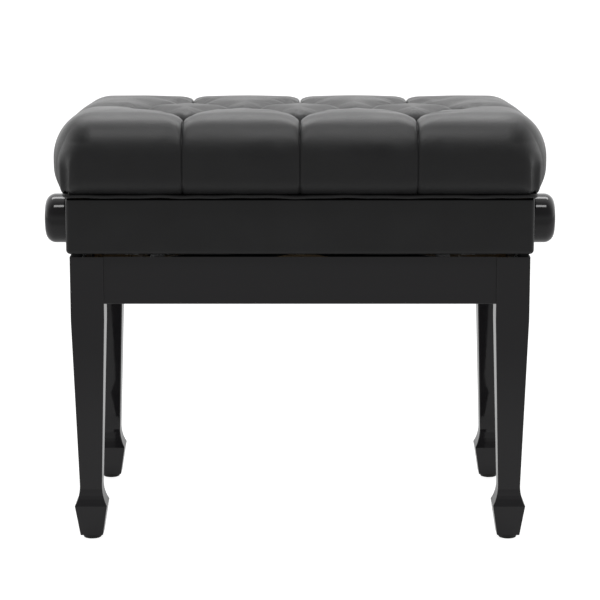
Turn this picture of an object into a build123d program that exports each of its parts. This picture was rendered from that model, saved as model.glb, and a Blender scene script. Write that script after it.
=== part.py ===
from build123d import *

import os
from math import asin, cos, degrees, radians, sin, sqrt

# Adjustable piano bench: a lacquered leg frame, a scissor lift turned by two side knobs,
# and a leather-covered seat box with a button-tufted cushion.
# Millimetres. +X runs along the bench, +Y to its back, +Z up.
# The origin is on the floor under the middle of the bench, with the seat at its lowest.

# ---- leg frame ----
frame_width = 546.0  # over the outer faces of the legs, along X
frame_depth = 322.0  # over the outer faces of the legs, along Y
frame_top_z = 349.0
leg_size = 40.0
leg_taper_start_z = 273.0
leg_neck_size = 26.9
leg_neck_z = 67.0
foot_widest_size = 39.0
foot_widest_z = 43.0
foot_base_size = 27.4
leg_edge_radius = 1.5
flare_steps = 6
apron_height = 57.0
apron_thickness = 18.0
apron_setback = 2.5
apron_edge_radius = 1.5

# ---- foot glides ----
glide_diameter = 22.0
glide_height = 5.5
glide_edge_radius = 1.5
nail_diameter = 3.0
nail_head_diameter = 8.0
nail_head_height = 1.5
nail_recess = 1.5
nail_length_in_leg = 18.0

# ---- corner blocks and leg bolts ----
block_thickness = 22.0
block_gap_below_top = 8.0
block_gap_above_base = 5.0
leg_corner_cut = 8.0
leg_cut_below_block = 2.0
bolt_diameter = 8.0
bolt_depth_in_leg = 30.0
bolt_spacing = 22.0
bolt_end_past_nut = 4.0
washer_diameter = 18.0
washer_thickness = 1.6
nut_across_flats = 13.0
nut_height = 6.5
block_screw_offset = 30.0
block_screw_length = 29.0

# ---- wood screws ----
screw_diameter = 4.0
screw_head_diameter = 8.0
screw_head_height = 2.4
screw_head_radius = 0.8
board_screw_length = 11.0
strap_screw_length = 12.0
skirt_screw_length = 38.0
skirt_screws_along = 4
skirt_screw_from_end = 30.0  # along the front and rear boards
skirt_screw_from_corner = 45.0  # along the end boards

# ---- scissor lift ----
lift = 80.0  # seat travel above its lowest place
sheet_thickness = 2.5  # rails and straps
strap_width = 30.0
strap_tab_height = 26.0
strap_screw_height = 16.0
strap_recess = 1.5  # strap above the apron's lower edge
strap_inset = 35.0  # strap's middle in from the rail's end
rail_flange_width = 21.5
rail_side_gap = 6.0  # flange edge to apron
rail_end_clearance = 3.0
rail_end_margin = 18.7  # pivot in from the rail's end
lower_rail_height = 26.0
slot_edge_wall = 8.0
arm_width = 22.0
arm_thickness = 4.0
arm_floor_clearance = 2.5  # lower arm end above the strap
side_play = 1.0  # between an arm and what is beside it
rod_diameter = 10.0
rod_head_diameter = 15.0
rod_head_thickness = 2.5
rod_head_gap = 0.3
pivot_clearance = 0.1
slot_clearance = 0.3
rivet_diameter = 8.0
rivet_head_diameter = 13.0
rail_rivet_diameter = 6.0
rail_rivet_head_diameter = 11.0
rail_rivet_head_height = 1.4
rail_screw_from_pivot = 26.0
cross_bar_size = 18.0
bar_to_arm_gap = 1.5

# ---- spindle and knobs ----
spindle_above_skirt_base = 18.9
spindle_diameter = 10.0
thread_diameter = 12.0
thread_lead = 3.0
thread_margin = 12.0  # thread past the nut bar at both ends of its travel
thread_clearance = 0.1
collar_diameter = 20.0
collar_width = 8.0
collar_gap = 0.2
bush_flange_diameter = 26.0
bush_flange_thickness = 2.0
bush_body_diameter = 16.0
knob_diameter = 61.5
knob_body_length = 33.0
knob_outer_radius = 12.5
knob_inner_radius = 4.0
knob_face_bow = 1.5
knob_hub_diameter = 30.0
knob_hub_length = 6.5
knob_gap = 0.5
knob_bore_depth = 26.0
set_screw_diameter = 4.0

# ---- seat box ----
box_overhang = 3.85  # leather face outside the legs' outer face
box_gap = 3.6  # leather above the frame's top
pad_diameter = 13.0
pad_offset = 12.0
pad_clearance = 0.3
leather = 1.5
skirt_height = 50.0
skirt_thickness = 15.0
board_thickness = 14.0
box_corner_radius = 6.0
box_base_radius = 5.0
leather_return = 14.0  # leather turned up inside the skirt
welt_diameter = 5.5
welt_overhang = 1.1  # welt's centre line outside the leather face
welt_gap = 1.75

# ---- cushion ----
cushion_top_z = 518.0
cushion_gap = 0.2  # above the welt
cushion_widest_above_welt = 32.0
cushion_bulge = 19.85
cushion_foot_inset = 1.0
cushion_shoulder = 60.0
cushion_corner_radius = 42.0
cushion_corner_fade = 0.45  # how fast the corner radius shrinks as the cushion draws in
cushion_waist_height = 0.6  # of the way from the cushion's foot to its widest line
cushion_waist_inset = 0.3  # of the foot's inset
cushion_steps = 7
cover_thickness = 2.0
button_diameter = 21.0
button_height = 6.0
button_edge_radius = 3.6
button_play = 0.6
button_spacing = 138.0
washer_clear_of_rails = 23.0
front_row_buttons = 3
middle_row_buttons = 4
tuft_depth = 27.0
tuft_mouth_radius = 32.0
tuft_skin_share = 0.6  # how much a dish widens per skin thickness
twine_diameter = 2.4
twine_washer_diameter = 16.0
twine_washer_thickness = 1.5

# ---- worked out: frame ----
leg_x = frame_width / 2 - leg_size / 2
leg_y = frame_depth / 2 - leg_size / 2
apron_base_z = frame_top_z - apron_height
apron_inner_x = frame_width / 2 - apron_setback - apron_thickness
apron_inner_y = frame_depth / 2 - apron_setback - apron_thickness
leg_cut_sum = (frame_width + frame_depth) / 2 - 2 * leg_size + leg_corner_cut  # x + y on the cut
block_face_sum = leg_cut_sum - block_thickness * sqrt(2)
block_top_z = frame_top_z - block_gap_below_top
block_height = apron_height - block_gap_below_top - block_gap_above_base
block_middle_z = block_top_z - block_height / 2

# ---- worked out: seat box and cushion ----
box_width = frame_width + 2 * box_overhang
box_depth = frame_depth + 2 * box_overhang
box_base_z = frame_top_z + box_gap
skirt_base_z = box_base_z + leather
board_base_z = skirt_base_z + skirt_height
board_top_z = board_base_z + board_thickness
wood_width = box_width - 2 * leather
wood_depth = box_depth - 2 * leather
welt_z = board_top_z + welt_gap + welt_diameter / 2
cushion_base_z = welt_z + welt_diameter / 2 + cushion_gap
cushion_widest_z = welt_z + cushion_widest_above_welt
tuft_floor_z = cushion_top_z - tuft_depth

# ---- worked out: lift ----
spindle_z = box_base_z + spindle_above_skirt_base
strap_base_z = apron_base_z + strap_recess
rail_base_z = strap_base_z + sheet_thickness
low_pivot_z = rail_base_z + arm_floor_clearance + arm_width / 2
closed_height = spindle_z - low_pivot_z
flange_outer_y = apron_inner_y - rail_side_gap
web_outer_y = flange_outer_y - rail_flange_width + sheet_thickness
web_inner_y = web_outer_y - sheet_thickness
arm_b_outer_y = web_inner_y - side_play
arm_b_inner_y = arm_b_outer_y - arm_thickness
arm_a_outer_y = arm_b_inner_y - side_play
arm_a_inner_y = arm_a_outer_y - arm_thickness
row_spacing = web_inner_y - twine_washer_diameter / 2 - washer_clear_of_rails
rail_half_length = block_face_sum - flange_outer_y - rail_end_clearance
pivot_x = rail_half_length - rail_end_margin
closed_reach = 2 * pivot_x
arm_length = sqrt(closed_reach**2 + closed_height**2)
closed_angle = asin(closed_height / arm_length)
open_angle = asin((closed_height + lift) / arm_length)
open_reach = arm_length * cos(open_angle)
nut_travel = closed_reach - open_reach
knob_turns = nut_travel / thread_lead
rod_head_start_y = web_outer_y + rod_head_gap
knob_start_x = box_width / 2 + bush_flange_thickness + knob_gap
spindle_end_x = knob_start_x + knob_bore_depth

corners = [(sx, sy) for sx in (-1, 1) for sy in (-1, 1)]
side_names = {-1: "left", 1: "right"}
face_names = {-1: "front", 1: "rear"}
corner_names = {(sx, sy): face_names[sy] + "_" + side_names[sx] for sx, sy in corners}
nodes = {}


def lift_play(steps=40):
    """How far each open pivot strays when all joints turn in a fixed ratio to the lift:
    along arm A at the nut bar, across arm A there, and up or down at arm B's lower end."""
    along, across, drop = [], [], []
    for step in range(steps + 1):
        share = step / steps
        angle = closed_angle + share * (open_angle - closed_angle)
        dx = closed_reach - share * nut_travel - arm_length * cos(angle)
        dz = closed_height + share * lift - arm_length * sin(angle)
        along.append(dx * cos(angle) + dz * sin(angle))
        across.append(dz * cos(angle) - dx * sin(angle))
        drop.append(dz)
    return -min(along), max(abs(min(across)), abs(max(across))), -min(drop)


nut_play, nut_side_play, height_play = lift_play()


# ---- helpers ----
def block(x, y, z):
    """A box between the given (low, high) pairs."""
    middle = [(low + high) / 2 for low, high in (x, y, z)]
    return Pos(*middle) * Box(x[1] - x[0], y[1] - y[0], z[1] - z[0])


def rod(diameter, start, end):
    """A round bar from one point to another."""
    line = Vector(*end) - Vector(*start)
    bar = Cylinder(diameter / 2, line.length, align=(Align.CENTER, Align.CENTER, Align.MIN))
    return Plane(origin=start, z_dir=line.normalized()).location * bar


def cross_rod(diameter, x, z, half_length):
    """A round bar along Y, centred on the bench."""
    return rod(diameter, (x, -half_length, z), (x, half_length, z))


def screw(start, direction, length, diameter=screw_diameter):
    """A pan-head wood screw: its head sits outside start, its shank runs along direction."""
    shank = Cylinder(diameter / 2, length, align=(Align.CENTER, Align.CENTER, Align.MIN))
    head = Cylinder(
        screw_head_diameter / 2, screw_head_height, align=(Align.CENTER, Align.CENTER, Align.MAX)
    )
    head = fillet(head.edges().group_by(Axis.Z)[0], screw_head_radius)
    return Plane(origin=start, z_dir=direction).location * (shank + head)


def rounded_plate(width, depth, radius, low_z, high_z):
    plate = extrude(RectangleRounded(width, depth, radius), high_z - low_z)
    return Pos(0, 0, low_z) * plate


def side_bar(y_inner, y_outer, side, profile, origin, angle):
    """A flat profile drawn in X and Z, given a thickness between two distances from the middle."""
    plane = Plane(origin=origin, x_dir=(cos(angle), 0, sin(angle)), z_dir=(0, -1, 0))
    solid = extrude(plane * profile, y_outer - y_inner)
    solid = Pos(0, -y_inner, 0) * solid
    return solid if side < 0 else mirror(solid, about=Plane.XZ)


def save(name, *shapes):
    solids = [solid for shape in shapes for solid in shape.solids()]
    nodes[name] = solids[0] if len(solids) == 1 else Compound(solids)


# ---- legs and their glides ----
def flare_size(z):
    """Width of the foot at a height on its hollow flare, which runs out of the neck on an arc."""
    drop, spread = leg_neck_z - foot_widest_z, (foot_widest_size - leg_neck_size) / 2
    radius = (drop**2 + spread**2) / (2 * spread)
    return leg_neck_size + 2 * (radius - sqrt(radius**2 - (leg_neck_z - z) ** 2))


def plain_leg():
    """A square leg with rounded edges: plain top, straight taper, hollow flare and spade foot."""
    rings = [(foot_base_size, glide_height)]
    for step in range(flare_steps + 1):
        z = foot_widest_z + (leg_neck_z - foot_widest_z) * step / flare_steps
        rings.append((flare_size(z), z))
    rings += [(leg_size, leg_taper_start_z), (leg_size, frame_top_z)]
    sections = [Pos(0, 0, z) * RectangleRounded(size, size, leg_edge_radius) for size, z in rings]
    return loft(sections, ruled=True)


def leg_cut_middle(sx, sy, z):
    """The middle of the flat cut on a leg's inner corner."""
    from_centre = (leg_size - leg_corner_cut) / 2
    return Vector(sx * (leg_x - from_centre), sy * (leg_y - from_centre), z)


def leg_bolt(sx, sy, z):
    """Hanger bolt, washer and nut on the line through the leg's cut corner."""
    outward = Vector(sx, sy, 0).normalized()
    on_cut = leg_cut_middle(sx, sy, z)
    on_block = on_cut - outward * block_thickness
    nut_seat = on_block - outward * washer_thickness
    bolt_end = nut_seat - outward * (nut_height + bolt_end_past_nut)
    bolt = rod(bolt_diameter, bolt_end, on_cut + outward * bolt_depth_in_leg)
    washer = rod(washer_diameter, nut_seat, on_block) - bolt
    hexagon = extrude(RegularPolygon(nut_across_flats / 2, 6, major_radius=False), nut_height)
    nut = Plane(origin=nut_seat, z_dir=-outward).location * hexagon - bolt
    return bolt, washer, nut


def block_screws(sx, sy):
    outward = Vector(sx, sy, 0).normalized()
    along = Vector(-sx, sy, 0).normalized()
    on_block = leg_cut_middle(sx, sy, block_middle_z) - outward * block_thickness
    return [
        screw(on_block + along * offset, outward, block_screw_length)
        for offset in (-block_screw_offset, block_screw_offset)
    ]


def corner_block(sx, sy):
    """A thick diagonal brace between two aprons, seated on the leg's cut corner."""
    outline = Polyline(
        (block_face_sum - apron_inner_y, apron_inner_y),
        (leg_cut_sum - apron_inner_y, apron_inner_y),
        (apron_inner_x, leg_cut_sum - apron_inner_x),
        (apron_inner_x, block_face_sum - apron_inner_x),
        close=True,
    )
    solid = Pos(0, 0, block_top_z - block_height) * extrude(make_face(outline), block_height)
    if sx < 0:
        solid = mirror(solid, about=Plane.YZ)
    return solid if sy > 0 else mirror(solid, about=Plane.XZ)


def corner_cutter(sx, sy):
    """What is taken off a leg's inner corner for the block, from just below it to the top."""
    low = block_top_z - block_height - leg_cut_below_block
    reach = leg_size / 2
    inner_x, inner_y = leg_x - leg_size / 2, leg_y - leg_size / 2
    outline = Polyline(
        (inner_x - reach, inner_y - reach),
        (inner_x - reach, leg_cut_sum - inner_x + reach),
        (leg_cut_sum - inner_y + reach, inner_y - reach),
        close=True,
    )
    solid = Pos(0, 0, low) * extrude(make_face(outline), frame_top_z - low)
    if sx < 0:
        solid = mirror(solid, about=Plane.YZ)
    return solid if sy > 0 else mirror(solid, about=Plane.XZ)


def glide_with_nail(x, y):
    disc = Cylinder(glide_diameter / 2, glide_height, align=(Align.CENTER, Align.CENTER, Align.MIN))
    disc = fillet(disc.edges().group_by(Axis.Z)[0], glide_edge_radius)
    disc = Pos(x, y, 0) * disc
    head_z = nail_recess + nail_head_height
    head = rod(nail_head_diameter, (x, y, nail_recess), (x, y, head_z))
    shank = rod(nail_diameter, (x, y, head_z), (x, y, glide_height + nail_length_in_leg))
    recess = rod(nail_head_diameter, (x, y, 0), (x, y, head_z))
    nail = head + shank
    return disc - recess - shank, nail


def build_frame():
    bolts, washers, nuts, screws, blocks, glides, nails, pads = ([] for _ in range(8))
    model_leg = plain_leg()
    for sx, sy in corners:
        leg = Pos(sx * leg_x, sy * leg_y, 0) * model_leg
        leg = leg - corner_cutter(sx, sy)
        brace = corner_block(sx, sy)
        for shift in (-bolt_spacing / 2, bolt_spacing / 2):
            bolt, washer, nut = leg_bolt(sx, sy, block_middle_z + shift)
            leg, brace = leg - bolt, brace - bolt
            bolts.append(bolt)
            washers.append(washer)
            nuts.append(nut)
        for one in block_screws(sx, sy):
            brace = brace - one
            screws.append(one)
        glide, nail = glide_with_nail(sx * leg_x, sy * leg_y)
        glides.append(glide)
        nails.append(nail)
        blocks.append(brace)
        pad_x, pad_y = sx * (leg_x + pad_offset), sy * (leg_y + pad_offset)
        pad_top_z = box_base_z - pad_clearance
        pads.append(rod(pad_diameter, (pad_x, pad_y, frame_top_z), (pad_x, pad_y, pad_top_z)))
        save("leg_" + corner_names[sx, sy], leg - nail)
    save("foot_glides", *glides)
    save("glide_nails", *nails)
    save("corner_blocks", *blocks)
    save("hanger_bolts", *bolts)
    save("bolt_washers", *washers)
    save("bolt_nuts", *nuts)
    save("corner_block_screws", *screws)
    save("rest_pads", *pads)
    build_aprons(screws)


def build_aprons(screws):
    z = (apron_base_z, frame_top_z)
    long_half, short_half = leg_x - leg_size / 2, leg_y - leg_size / 2
    for side in (-1, 1):
        y = sorted((side * apron_inner_y, side * (apron_inner_y + apron_thickness)))
        board = block((-long_half, long_half), y, z)
        edge = board.edges().filter_by(Axis.X).group_by(Axis.Z)[0].sort_by(Axis.Y)[0 if side < 0 else -1]
        board = fillet(edge, apron_edge_radius) - screws
        save("apron_" + face_names[side], board - strap_screws())
        x = sorted((side * apron_inner_x, side * (apron_inner_x + apron_thickness)))
        board = block(x, (-short_half, short_half), z)
        edge = board.edges().filter_by(Axis.Y).group_by(Axis.Z)[0].sort_by(Axis.X)[0 if side < 0 else -1]
        save("apron_" + side_names[side], fillet(edge, apron_edge_radius) - screws)


# ---- lower half of the lift, fixed in the frame ----
def strap_x(side):
    return side * (rail_half_length - strap_inset)


def strap_screws():
    """Two through each upturned tab, into the front and rear aprons."""
    tab_y = apron_inner_y - sheet_thickness
    z = strap_base_z + strap_screw_height
    found = []
    for sx, sy in corners:
        for shift in (-strap_width / 4, strap_width / 4):
            found.append(screw((strap_x(sx) + shift, sy * tab_y, z), (0, sy, 0), strap_screw_length))
    return found


def rail_rivets():
    """One at each crossing of a rail's flange and a strap."""
    y = (web_outer_y + flange_outer_y) / 2
    low, high = strap_base_z, rail_base_z + sheet_thickness
    found = []
    for sx, sy in corners:
        x = strap_x(sx)
        rivet = rod(rail_rivet_diameter, (x, sy * y, low), (x, sy * y, high))
        rivet += rod(rail_rivet_head_diameter, (x, sy * y, low - rail_rivet_head_height), (x, sy * y, low))
        rivet += rod(rail_rivet_head_diameter, (x, sy * y, high), (x, sy * y, high + rail_rivet_head_height))
        found.append(rivet)
    return found


def slot_cutter(z, height, play_low, play_high):
    """The slot that a rod sliding between its closed and open reach needs, through both rails."""
    start = open_reach - pivot_x - height / 2 - play_low
    end = pivot_x + height / 2 + play_high
    slot = SlotOverall(end - start, height)
    plane = Plane(origin=((start + end) / 2, 0, z), x_dir=(1, 0, 0), z_dir=(0, -1, 0))
    return extrude(plane * slot, frame_depth, both=True)


def build_lower_lift():
    rivets = rail_rivets()
    pivot = cross_rod(rod_diameter, -pivot_x, low_pivot_z, rod_head_start_y)
    slot_height = rod_diameter + height_play + 2 * slot_clearance
    slot = slot_cutter(low_pivot_z - height_play / 2, slot_height, slot_clearance, slot_clearance)
    for side in (-1, 1):
        web_y = sorted((side * web_inner_y, side * web_outer_y))
        flange_y = sorted((side * web_inner_y, side * flange_outer_y))
        length = (-rail_half_length, rail_half_length)
        rail = block(length, web_y, (rail_base_z, rail_base_z + lower_rail_height))
        rail += block(length, flange_y, (rail_base_z, rail_base_z + sheet_thickness))
        save("lower_rail_" + face_names[side], rail - slot - pivot - rivets)
        x = (strap_x(side) - strap_width / 2, strap_x(side) + strap_width / 2)
        z = (strap_base_z, strap_base_z + strap_tab_height)
        strap = block(x, (-apron_inner_y, apron_inner_y), (z[0], z[0] + sheet_thickness))
        for tab in (-1, 1):
            tab_y = sorted((tab * (apron_inner_y - sheet_thickness), tab * apron_inner_y))
            strap += block(x, tab_y, z)
        save("lower_strap_" + side_names[side], strap - rivets - strap_screws())
    save("rail_rivets", *rivets)
    save("strap_screws", *strap_screws())
    save("lower_pivot_rod", with_heads(pivot, -pivot_x, low_pivot_z))


def with_heads(bar, x, z):
    """Adds the flattened heads that keep a cross rod between the rails."""
    for side in (-1, 1):
        inner, outer = side * rod_head_start_y, side * (rod_head_start_y + rod_head_thickness)
        bar += rod(rod_head_diameter, (x, inner, z), (x, outer, z))
    return bar


# ---- scissor arms ----
def arm_blank():
    return Pos(arm_length / 2, 0) * SlotOverall(arm_length + arm_width, arm_width)


def build_arms():
    rivets = []
    pin = rod_diameter + 2 * pivot_clearance
    slot_long = pin + nut_play + slot_clearance
    slot_high = pin + 2 * nut_side_play + slot_clearance
    free_hole = rivet_diameter + 2 * (height_play + slot_clearance)
    for side in (-1, 1):
        a = arm_blank() - Circle(pin / 2) - Pos(arm_length / 2, 0) * Circle(rivet_diameter / 2)
        a -= Pos(arm_length - nut_play / 2, 0) * SlotOverall(slot_long, slot_high)
        a_solid = side_bar(arm_a_inner_y, arm_a_outer_y, side, a, (-pivot_x, 0, low_pivot_z), closed_angle)
        save("arm_a_" + face_names[side], a_solid)
        b = arm_blank() - Circle(pin / 2) - Pos(arm_length / 2, 0) * Circle(free_hole / 2)
        b -= Pos(arm_length, 0) * Circle(rod_diameter / 2)
        b_solid = side_bar(arm_b_inner_y, arm_b_outer_y, side, b, (-pivot_x, 0, spindle_z), -closed_angle)
        save("arm_b_" + face_names[side], b_solid)
        rivets.append(centre_rivet(side))
    save("centre_rivets", *rivets)
    slide = cross_rod(rod_diameter, pivot_x, low_pivot_z, rod_head_start_y)
    save("lower_slide_rod", with_heads(slide, pivot_x, low_pivot_z))


def centre_rivet(side):
    z = (spindle_z + low_pivot_z) / 2
    head = rail_rivet_head_height
    inner, outer = arm_a_inner_y, arm_b_outer_y + rod_head_gap
    rivet = rod(rivet_diameter, (0, side * inner, z), (0, side * outer, z))
    rivet += rod(rivet_head_diameter, (0, side * (inner - head), z), (0, side * inner, z))
    rivet += rod(rivet_head_diameter, (0, side * outer, z), (0, side * (outer + head), z))
    return rivet


# ---- upper half of the lift, fixed under the seat board ----
def cross_bar(x, hole):
    """A square bar with round ends that pass through the arms and the upper rails."""
    half = arm_a_inner_y - bar_to_arm_gap
    size = cross_bar_size / 2
    bar = block((x - size, x + size), (-half, half), (spindle_z - size, spindle_z + size))
    bar += cross_rod(rod_diameter, x, spindle_z, rod_head_start_y)
    bar = with_heads(bar, x, spindle_z)
    return bar - rod(hole, (x - size, 0, spindle_z), (x + size, 0, spindle_z))


def upper_rail_screws():
    y = (web_outer_y + flange_outer_y) / 2
    z = board_base_z - sheet_thickness
    end_x = pivot_x - rail_screw_from_pivot
    places = [(x, side * y) for x in (-end_x, 0, end_x) for side in (-1, 1)]
    return [screw((x, y, z), (0, 0, 1), board_screw_length) for x, y in places]


def build_upper_lift():
    screws = upper_rail_screws()
    fixed_end = cross_rod(rod_diameter, -pivot_x, spindle_z, rod_head_start_y)
    slot_height = rod_diameter + 2 * slot_clearance
    slot = slot_cutter(spindle_z, slot_height, slot_clearance, slot_clearance)
    web_z = (spindle_z - slot_height / 2 - slot_edge_wall, board_base_z)
    for side in (-1, 1):
        web_y = sorted((side * web_inner_y, side * web_outer_y))
        flange_y = sorted((side * web_inner_y, side * flange_outer_y))
        length = (-rail_half_length, rail_half_length)
        rail = block(length, web_y, web_z)
        rail += block(length, flange_y, (board_base_z - sheet_thickness, board_base_z))
        save("upper_rail_" + face_names[side], rail - slot - fixed_end - screws)
    save("upper_rail_screws", *screws)
    save("thrust_bar", cross_bar(-pivot_x, spindle_diameter + 2 * pivot_clearance))
    save("nut_bar", cross_bar(pivot_x, thread_diameter + 2 * thread_clearance))


# ---- spindle, collars and knobs ----
def plain_knob():
    """A turned knob: its hub starts at 0 and it grows outward along X."""
    hub, body = knob_hub_diameter / 2, knob_diameter / 2
    face = knob_hub_length + knob_body_length
    rim = face - knob_face_bow
    flat = body - knob_outer_radius
    inner_end = knob_hub_length + knob_inner_radius
    outline = [
        Polyline((0, 0), (0, hub), (knob_hub_length, hub), (knob_hub_length, body - knob_inner_radius)),
        TangentArc((knob_hub_length, body - knob_inner_radius), (inner_end, body), tangent=(0, 1)),
        Line((inner_end, body), (rim - knob_outer_radius, body)),
        TangentArc((rim - knob_outer_radius, body), (rim, flat), tangent=(1, 0)),
        TangentArc((face, 0), (rim, flat), tangent=(0, 1)),
        Line((face, 0), (0, 0)),
    ]
    return revolve(Plane.XZ * make_face(outline), Axis.X)


def build_spindle():
    spindle = rod(spindle_diameter, (-spindle_end_x, 0, spindle_z), (spindle_end_x, 0, spindle_z))
    half_bar = cross_bar_size / 2
    thread_low = open_reach - pivot_x - half_bar - thread_margin
    thread_high = pivot_x + half_bar + thread_margin
    spindle += rod(thread_diameter, (thread_low, 0, spindle_z), (thread_high, 0, spindle_z))
    save("spindle_rod", spindle)
    collars = []
    for side in (-1, 1):
        near = -pivot_x + side * (half_bar + collar_gap)
        ends = [(near, 0, spindle_z), (near + side * collar_width, 0, spindle_z)]
        collars.append(rod(collar_diameter, *ends) - spindle)
    save("thrust_collars", *collars)
    bore = rod(spindle_diameter, (knob_start_x, 0, spindle_z), (spindle_end_x, 0, spindle_z))
    screw_hole = rod(
        set_screw_diameter,
        (knob_start_x + knob_hub_length / 2, 0, spindle_z - knob_hub_diameter / 2),
        (knob_start_x + knob_hub_length / 2, 0, spindle_z),
    )
    model_knob = Pos(knob_start_x, 0, spindle_z) * plain_knob() - bore - screw_hole
    screws = []
    for side in (1, -1):
        set_screw = screw_hole - bore
        if side < 0:
            set_screw = mirror(set_screw, about=Plane.YZ)
            model_knob = mirror(model_knob, about=Plane.YZ)
        save("knob_" + side_names[side], model_knob)
        screws.append(set_screw)
    save("knob_set_screws", *screws)


# ---- seat box ----
def box_bushes():
    found = {}
    for side in (-1, 1):
        face_x = box_width / 2
        inner_x = wood_width / 2 - skirt_thickness - leather
        body = rod(bush_body_diameter, (side * inner_x, 0, spindle_z), (side * face_x, 0, spindle_z))
        flange_end = (side * (face_x + bush_flange_thickness), 0, spindle_z)
        body += rod(bush_flange_diameter, (side * face_x, 0, spindle_z), flange_end)
        hole_ends = [(side * inner_x, 0, spindle_z), flange_end]
        found[side] = body - rod(spindle_diameter + 2 * pivot_clearance, *hole_ends)
    return found


def bush_hole():
    ends = [(-box_width, 0, spindle_z), (box_width, 0, spindle_z)]
    return rod(bush_body_diameter, *ends)


def skirt_screws():
    """Countersunk screws down through the seat board into the skirt boards."""
    inset = skirt_thickness / 2
    end_x, end_y = wood_width / 2 - skirt_screw_from_end, wood_depth / 2 - skirt_screw_from_corner
    step = 2 * end_x / (skirt_screws_along - 1)
    long_x = [i * step - end_x for i in range(skirt_screws_along)]
    places = [(x, side * (wood_depth / 2 - inset)) for x in long_x for side in (-1, 1)]
    places += [(side * (wood_width / 2 - inset), y) for y in (-end_y, end_y) for side in (-1, 1)]
    low_z = board_top_z - skirt_screw_length
    sink = (screw_head_diameter - screw_diameter) / 2
    to_top = (Align.CENTER, Align.CENTER, Align.MAX)
    cone = Cone(screw_diameter / 2, screw_head_diameter / 2, sink, align=to_top)
    found = []
    for x, y in places:
        shank = rod(screw_diameter, (x, y, low_z), (x, y, board_top_z))
        found.append(shank + Pos(x, y, board_top_z) * cone)
    return found


def leather_wrap():
    """One skin over the skirt: outer face, lower edge and a return inside."""
    outer = rounded_plate(box_width, box_depth, box_corner_radius, box_base_z, board_top_z)
    outer = fillet(outer.edges().group_by(Axis.Z)[0], box_base_radius)
    core_radius = box_corner_radius - leather
    core = rounded_plate(wood_width, wood_depth, core_radius, skirt_base_z, board_top_z)
    core = fillet(core.edges().group_by(Axis.Z)[0], box_base_radius - leather)
    half_x, half_y = wood_width / 2 - skirt_thickness, wood_depth / 2 - skirt_thickness
    hollow_x, hollow_y = half_x - leather, half_y - leather
    hollow = block((-hollow_x, hollow_x), (-hollow_y, hollow_y), (box_base_z, board_top_z))
    turned = block((-half_x, half_x), (-half_y, half_y), (box_base_z, skirt_base_z + leather_return))
    skin = outer - core - hollow
    return skin + (turned - hollow), core


def build_box():
    skin, core = leather_wrap()
    bushes, hole, screws = box_bushes(), bush_hole(), skirt_screws()
    inner_x, inner_y = wood_width / 2 - skirt_thickness, wood_depth / 2 - skirt_thickness
    z = (skirt_base_z, board_base_z)
    rail_screws, twines = upper_rail_screws(), tuft_twines()
    board = core & block((-box_width, box_width), (-box_depth, box_depth), (board_base_z, board_top_z))
    save("seat_board", board - screws - rail_screws - twines)
    split = inner_y - leather
    for side in (-1, 1):
        y = sorted((side * inner_y, side * box_depth))
        long_board = core & block((-box_width, box_width), y, z)
        save("skirt_" + face_names[side], long_board - screws)
        x = sorted((side * inner_x, side * box_width))
        short_board = core & block(x, (-inner_y, inner_y), z)
        save("skirt_" + side_names[side], short_board - screws - hole)
        y = sorted((side * split, side * box_depth))
        whole_z = (0, cushion_top_z)
        save("skirt_cover_" + face_names[side], skin & block((-box_width, box_width), y, whole_z))
        x = sorted((0, side * box_width))
        save("skirt_cover_" + side_names[side], (skin & block(x, (-split, split), whole_z)) - hole)
        save("spindle_bush_" + side_names[side], bushes[side])
    save("skirt_screws", *screws)
    path = RectangleRounded(
        box_width + 2 * welt_overhang, box_depth + 2 * welt_overhang, box_corner_radius + welt_overhang
    ).wire()
    path = Pos(0, 0, welt_z) * path
    section = Plane(origin=path @ 0, z_dir=path % 0) * Circle(welt_diameter / 2)
    save("welt_piping", sweep(section, path=path))


# ---- cushion ----
def button_places():
    places = []
    for row, count in ((-1, front_row_buttons), (0, middle_row_buttons), (1, front_row_buttons)):
        start = -(count - 1) / 2 * button_spacing
        places += [(start + i * button_spacing, row * row_spacing) for i in range(count)]
    return places


def pillow(skin):
    """The bulging cushion shape, drawn in by the given skin thickness."""
    half_x, half_y = box_width / 2 + cushion_bulge - skin, box_depth / 2 + cushion_bulge - skin
    rise = cushion_top_z - skin - cushion_widest_z
    foot = cushion_bulge + cushion_foot_inset
    waist_z = cushion_base_z + cushion_waist_height * (cushion_widest_z - cushion_base_z)
    rings = [(foot, cushion_base_z), (foot * cushion_waist_inset, waist_z)]
    for step in range(cushion_steps):
        angle = radians(90 * step / (cushion_steps - 1))
        rings.append((cushion_shoulder * (1 - cos(angle)), cushion_widest_z + rise * sin(angle)))
    sections = []
    for inset, z in rings:
        radius = cushion_corner_radius - skin - cushion_corner_fade * inset
        outline = RectangleRounded(2 * (half_x - inset), 2 * (half_y - inset), radius)
        sections.append(Pos(0, 0, z) * outline)
    return loft(sections, ruled=True)


def tuft_cones(skin):
    """A dish for each button, widening to the top."""
    floor, top = tuft_floor_z - skin, cushion_top_z + 1
    height = top - floor
    low = button_diameter / 2 + button_play + skin * tuft_skin_share
    high = tuft_mouth_radius + skin * tuft_skin_share
    dish = Cone(low, high, height, align=(Align.CENTER, Align.CENTER, Align.MIN))
    return [Pos(x, y, floor) * dish for x, y in button_places()]


def tuft_twines():
    low_z = board_base_z - twine_washer_thickness
    return [rod(twine_diameter, (x, y, low_z), (x, y, tuft_floor_z)) for x, y in button_places()]


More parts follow.
